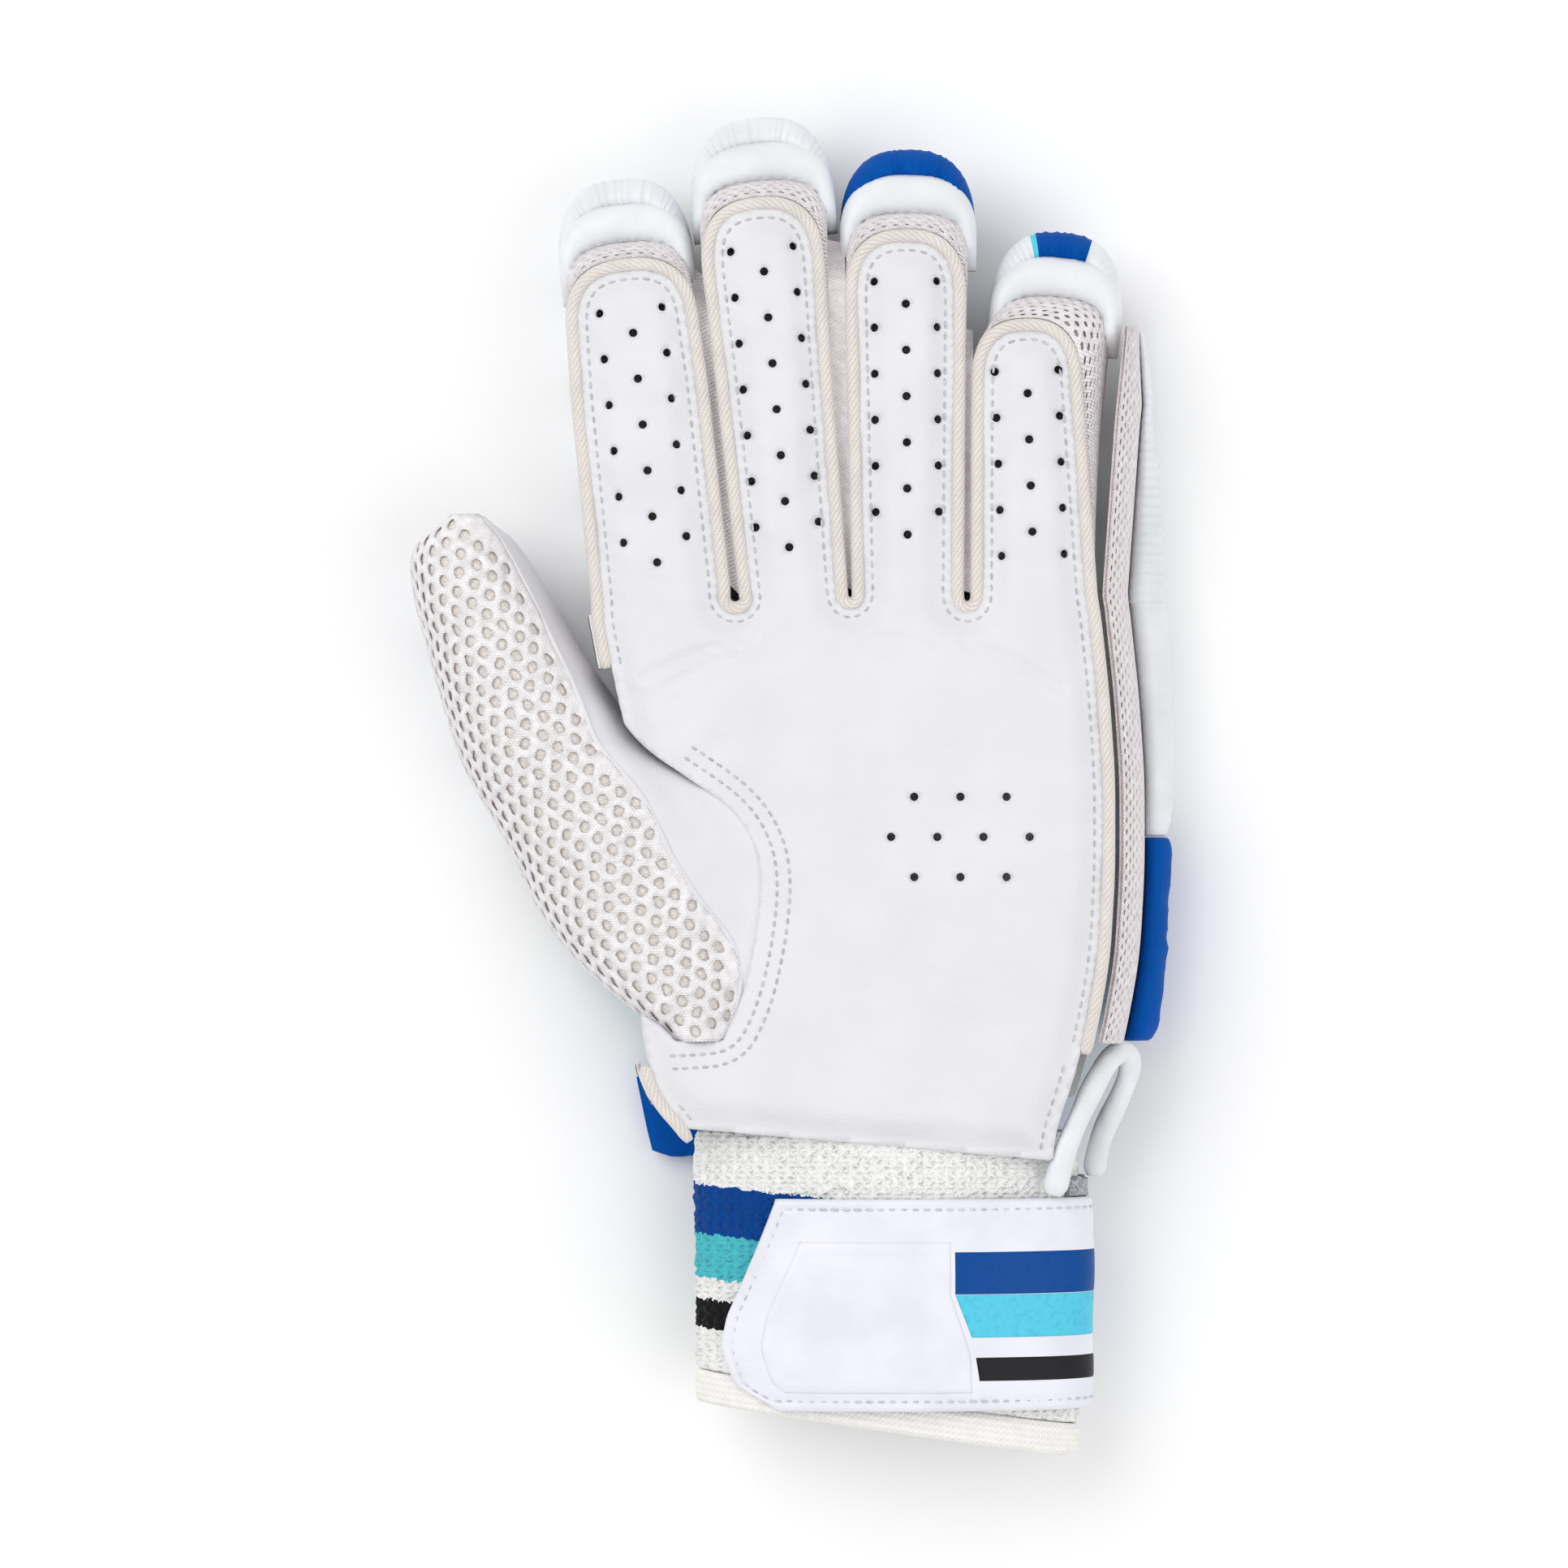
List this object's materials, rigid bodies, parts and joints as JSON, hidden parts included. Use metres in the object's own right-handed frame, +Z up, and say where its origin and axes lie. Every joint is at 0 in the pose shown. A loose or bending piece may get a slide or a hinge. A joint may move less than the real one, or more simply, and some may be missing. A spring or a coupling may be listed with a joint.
{
  "type": "cricket batting glove",
  "caption": "Left-hand cricket batting glove: padded finger, thumb and hand rolls, pierced leather palm, net thumb, striped towelling cuff and wide wrist strap; lies palm up.",
  "frame": {"origin": "middle of the glove's box, at the surface that its padded back lies on", "axes": "+Y towards the fingertips, +Z up out of the palm, thumb on the -X side"},
  "size_m": [0.1678, 0.2922, 0.0409],
  "materials": {
    "palm_leather": "fine-grained matt leather",
    "white_pu": "smooth satin coated leather",
    "strap_pu": "smooth satin coated leather",
    "blue_pu": "satin coated leather",
    "cyan_pu": "satin coated leather",
    "base_cloth": "plain woven cotton",
    "side_net": "open knitted mesh",
    "thumb_net": "coarse open net over cloth",
    "woven_tape": "ribbed woven tape",
    "towelling": "knitted towelling with stripes",
    "hook_strip": "hook and loop strip"
  },
  "bodies": {
    "root": {"palm_leather": "palm_leather", "thumb_leather": "palm_leather", "slit_binding": "palm_leather", "back_cloth": "base_cloth", "thumb_back": "base_cloth", "cuff_hem": "base_cloth", "gusset_index": "side_net", "binding_index": "woven_tape", "cap_index": "white_pu", "tip_roll_index": "white_pu", "rim_index": "white_pu", "finger_roll_index_1": "white_pu", "finger_roll_index_2": "white_pu", "finger_roll_index_3": "white_pu", "gusset_middle": "side_net", "binding_middle": "woven_tape", "cap_middle": "white_pu", "tip_roll_middle": "white_pu", "rim_middle": "white_pu", "finger_roll_middle_1": "white_pu", "finger_roll_middle_2": "white_pu", "finger_roll_middle_3": "white_pu", "gusset_ring": "side_net", "binding_ring": "woven_tape", "cap_ring": "white_pu", "tip_roll_ring": "white_pu", "rim_ring": "blue_pu", "finger_roll_ring_1": "white_pu", "finger_roll_ring_2": "white_pu", "finger_roll_ring_3": "white_pu", "gusset_little": "side_net", "binding_little": "woven_tape", "cap_little": "white_pu", "tip_roll_little": "white_pu", "rim_little": "white_pu", "finger_roll_little_1": "white_pu", "finger_roll_little_2": "white_pu", "finger_roll_little_3": "white_pu", "hand_roll_1": "white_pu", "hand_roll_2": "white_pu", "hand_roll_4": "white_pu", "thumb_roll_1": "white_pu", "thumb_roll_2": "white_pu", "thumb_roll_3": "white_pu", "side_pad_white": "white_pu", "hand_roll_3": "blue_pu", "side_pad_blue": "blue_pu", "wrist_flap": "blue_pu", "hand_roll_5": "cyan_pu", "side_binding": "woven_tape", "web_binding": "woven_tape", "heel_binding": "woven_tape", "side_mesh": "side_net", "web_gusset": "side_net", "heel_gusset": "side_net", "thumb_mesh": "thumb_net", "cuff": "towelling", "strap": "strap_pu", "fastener_strip": "hook_strip"}
  },
  "joints": []
}
